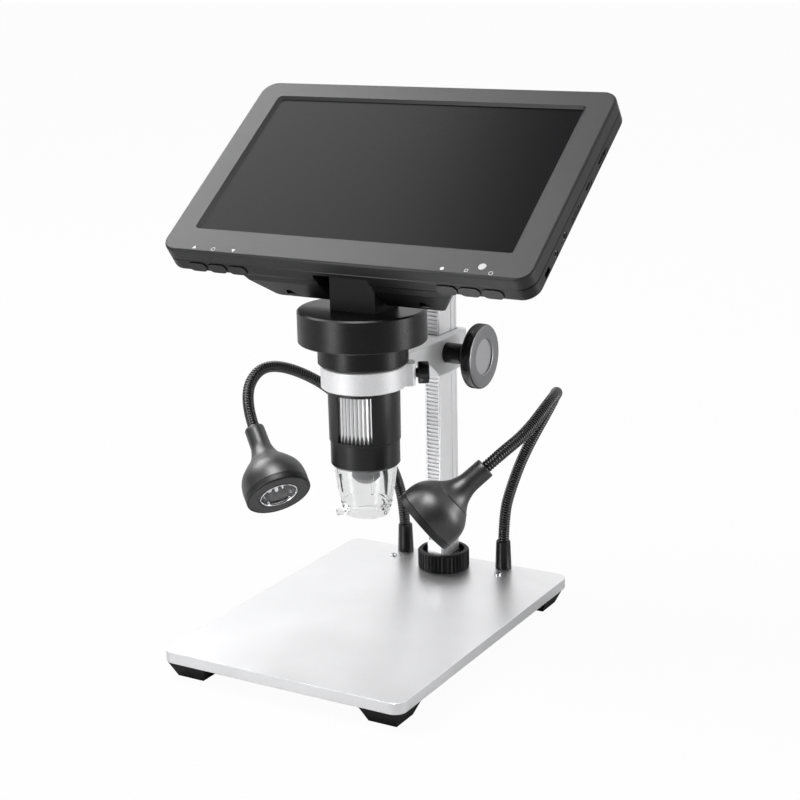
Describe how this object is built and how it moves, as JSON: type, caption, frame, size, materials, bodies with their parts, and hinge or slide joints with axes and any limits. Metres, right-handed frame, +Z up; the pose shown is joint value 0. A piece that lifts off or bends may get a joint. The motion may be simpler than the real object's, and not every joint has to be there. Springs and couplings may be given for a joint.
{
  "type": "lcd digital microscope",
  "caption": "Desktop digital microscope: tilting screen and lens head on a rack-and-pinion column with a flat base and flexible side lamps.",
  "frame": {"origin": "centre of the base plate's outline at the level the feet stand on", "axes": "+X to the right as the user faces the screen, +Y from the user to the back, +Z up"},
  "size_m": [0.182, 0.162, 0.2438],
  "materials": {
    "anodised_base": "fine bead-blasted clear anodised",
    "column_aluminium": "satin",
    "cast_carriage": "fine blasted",
    "steel": "bright zinc",
    "rack_steel": "satin",
    "rubber": "matt",
    "black_plastic": "fine texture",
    "gloss_black": "gloss",
    "stem_black": "satin black coil",
    "lamp_black": "satin gloss",
    "reflector": "mirror",
    "chrome_ring": "mirror",
    "clear_plastic": "clear",
    "clear_glass": "clear",
    "cover_glass": "gloss",
    "display_panel": "dark",
    "board": "board",
    "battery_wrap": "foil",
    "white_light": "clear resin",
    "knob_face": "turned",
    "status_clear": "translucent"
  },
  "bodies": {
    "stand": {"base_plate": "anodised_base", "rubber_feet": "rubber", "foot_screws": "steel", "column": "column_aluminium", "column_rack": "rack_steel", "column_socket": "cast_carriage", "column_screws": "steel", "lamp_collars": "gloss_black", "collar_screws": "steel"},
    "column_nut": {"column_nut": "black_plastic"},
    "lamp_left_arm": {"lamp_neck_lower_left": "stem_black"},
    "lamp_left_head": {"lamp_neck_upper_left": "stem_black", "lamp_shell_left": "lamp_black", "lamp_bezel_left": "black_plastic", "lamp_lens_left": "clear_plastic", "lamp_reflector_left": "reflector", "lamp_led_left": "white_light"},
    "lamp_right_arm": {"lamp_neck_lower_right": "stem_black"},
    "lamp_right_head": {"lamp_neck_upper_right": "stem_black", "lamp_shell_right": "lamp_black", "lamp_bezel_right": "black_plastic", "lamp_lens_right": "clear_plastic", "lamp_reflector_right": "reflector", "lamp_led_right": "white_light"},
    "carriage": {"carriage_arm": "cast_carriage", "carriage_liner": "black_plastic", "shaft_bushes": "black_plastic"},
    "height_knob": {"pinion_shaft": "steel", "height_knob": "black_plastic", "knob_insert": "knob_face"},
    "clamp_screw": {"clamp_screw": "gloss_black"},
    "head": {"disc_housing": "black_plastic", "step_housing": "black_plastic", "body_shell": "black_plastic", "guide_tube": "black_plastic", "sensor_board": "board", "led_ring": "board", "clear_hood": "clear_plastic", "neck_block": "black_plastic", "neck_screws": "steel"},
    "focus_ring": {"focus_ring": "chrome_ring"},
    "lens": {"lens_barrel": "black_plastic", "objective_lens": "clear_glass"},
    "display": {"hinge_pin": "steel", "screen_bezel": "black_plastic", "screen_rear": "black_plastic", "screen_glass": "cover_glass", "lcd_panel": "display_panel", "main_board": "board", "battery": "battery_wrap", "key_boards": "board", "status_light": "status_clear", "port_sockets": "steel", "case_screws": "steel"},
    "key_up": {"key_up": "black_plastic"},
    "key_ok": {"key_ok": "black_plastic"},
    "key_down": {"key_down": "black_plastic"},
    "key_capture": {"key_capture": "black_plastic"},
    "key_mode": {"key_mode": "black_plastic"},
    "key_power": {"key_power": "black_plastic"}
  },
  "joints": [
    {"name": "carriage_slide", "type": "slide", "parent": "stand", "child": "carriage", "axis": [0, 0, 1], "range_m": [-0.035, 0.03]},
    {"name": "height_knob_turn", "type": "hinge", "parent": "carriage", "child": "height_knob", "pos_m": [0.02, 0.05382, 0.1235], "axis": [1, 0, 0], "range_deg": [-480, 560]},
    {"name": "column_nut_turn", "type": "hinge", "parent": "stand", "child": "column_nut", "pos_m": [0, 0.066, 0.0173], "axis": [0, 0, 1], "range_deg": [0, 720]},
    {"name": "clamp_screw_turn", "type": "hinge", "parent": "carriage", "child": "clamp_screw", "pos_m": [0.01932, 0.00863, 0.1253], "axis": [0.829, 0.5592, 0], "range_deg": [0, 720]},
    {"name": "head_swivel", "type": "hinge", "parent": "carriage", "child": "head", "pos_m": [0, -0.0044, 0.1253], "axis": [0, 0, 1], "range_deg": [-30, 30]},
    {"name": "focus_turn", "type": "hinge", "parent": "head", "child": "focus_ring", "pos_m": [0, -0.0044, 0.1073], "axis": [0, 0, 1], "range_deg": [-150, 150]},
    {"name": "lens_slide", "type": "slide", "parent": "head", "child": "lens", "axis": [0, 0, 1], "range_m": [-0.0027, 0.0027]},
    {"name": "display_tilt", "type": "hinge", "parent": "head", "child": "display", "pos_m": [0, -0.0044, 0.1683], "axis": [-1, 0, 0], "range_deg": [-40, 15]},
    {"name": "lamp_left_swing", "type": "hinge", "parent": "stand", "child": "lamp_left_arm", "pos_m": [-0.0273, 0.0765, 0.0223], "axis": [0, 0, 1], "range_deg": [-40, 2]},
    {"name": "lamp_right_swing", "type": "hinge", "parent": "stand", "child": "lamp_right_arm", "pos_m": [0.0273, 0.0765, 0.0223], "axis": [0, 0, 1], "range_deg": [-2, 40]},
    {"name": "lamp_left_bend", "type": "hinge", "parent": "lamp_left_arm", "child": "lamp_left_head", "pos_m": [-0.06765, 0.0036, 0.1079], "axis": [0.5572, 0.8304, 0], "range_deg": [-5, 30]},
    {"name": "lamp_right_bend", "type": "hinge", "parent": "lamp_right_arm", "child": "lamp_right_head", "pos_m": [0.06545, 0.0504, 0.1088], "axis": [-0.6263, 0.7796, 0], "range_deg": [-25, 5]},
    {"name": "key_up_press", "type": "slide", "parent": "display", "child": "key_up", "axis": [0, 0.808, 0.5892], "range_m": [0, 0.0005], "stiffness_N_per_m": 400, "springref_m": -0.0004},
    {"name": "key_ok_press", "type": "slide", "parent": "display", "child": "key_ok", "axis": [0, 0.808, 0.5892], "range_m": [0, 0.0005], "stiffness_N_per_m": 400, "springref_m": -0.0004},
    {"name": "key_down_press", "type": "slide", "parent": "display", "child": "key_down", "axis": [0, 0.808, 0.5892], "range_m": [0, 0.0005], "stiffness_N_per_m": 400, "springref_m": -0.0004},
    {"name": "key_capture_press", "type": "slide", "parent": "display", "child": "key_capture", "axis": [0, 0.808, 0.5892], "range_m": [0, 0.0005], "stiffness_N_per_m": 400, "springref_m": -0.0004},
    {"name": "key_mode_press", "type": "slide", "parent": "display", "child": "key_mode", "axis": [0, 0.808, 0.5892], "range_m": [0, 0.0005], "stiffness_N_per_m": 400, "springref_m": -0.0004},
    {"name": "key_power_press", "type": "slide", "parent": "display", "child": "key_power", "axis": [0, 0.808, 0.5892], "range_m": [0, 0.0005], "stiffness_N_per_m": 400, "springref_m": -0.0004}
  ],
  "couplings": [
    {"joint": "height_knob_turn", "follows": "carriage_slide", "rad_per_m": -277.78},
    {"joint": "lens_slide", "follows": "focus_turn", "m_per_rad": 0.001}
  ]
}
